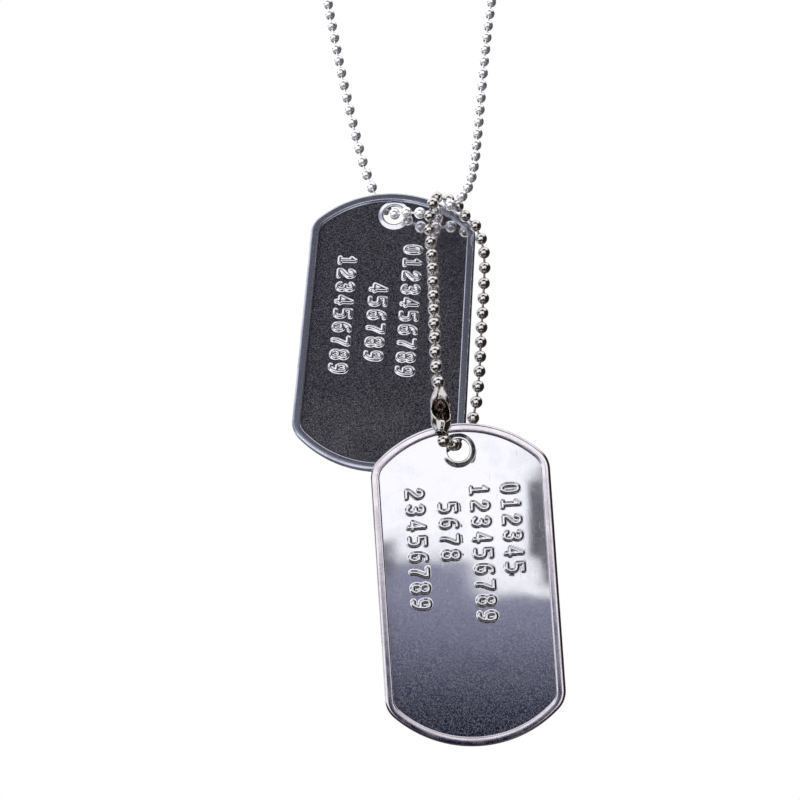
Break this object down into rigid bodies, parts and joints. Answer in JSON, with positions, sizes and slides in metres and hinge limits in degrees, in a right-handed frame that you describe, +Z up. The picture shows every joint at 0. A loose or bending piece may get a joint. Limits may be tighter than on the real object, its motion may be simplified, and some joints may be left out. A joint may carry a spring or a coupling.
{
  "type": "identification dog tag",
  "caption": "Rounded steel identification tags with rolled rims, collared holes and raised digits, hung as worn from a looped neck ball chain and a short ball chain with snap connectors.",
  "frame": {"origin": "under the top of the neck loop, where the chain rests on the nape or on whatever holds it up", "axes": "+Z up with the tags hanging at -Z, -Y the front where the tags face, +X to the right as seen from the front"},
  "size_m": [0.1089, 0.1931, 0.3376],
  "materials": {
    "tag_steel": "polished sheet with a satin rim",
    "chain_steel": "bright plated",
    "link_steel": "drawn wire"
  },
  "bodies": {
    "chains": {"short_chain_beads": "chain_steel", "short_chain_links": "link_steel", "short_chain_connector": "chain_steel", "neck_chain_beads": "chain_steel", "neck_chain_links": "link_steel", "neck_chain_back": "chain_steel", "neck_chain_connector": "chain_steel"},
    "rear_tag": {"tag_rear": "tag_steel"},
    "front_tag": {"tag_front": "tag_steel"}
  },
  "joints": [
    {"name": "rear_tag_swing", "type": "hinge", "parent": "chains", "child": "rear_tag", "pos_m": [0.0035, -0.1697, -0.24894], "axis": [0.049, 0.9354, -0.3502], "range_deg": [-60, 75]},
    {"name": "front_tag_swing", "type": "hinge", "parent": "chains", "child": "front_tag", "pos_m": [0.0138, -0.18925, -0.289], "axis": [0.0523, 0.9978, -0.0419], "range_deg": [-45, 10]}
  ]
}
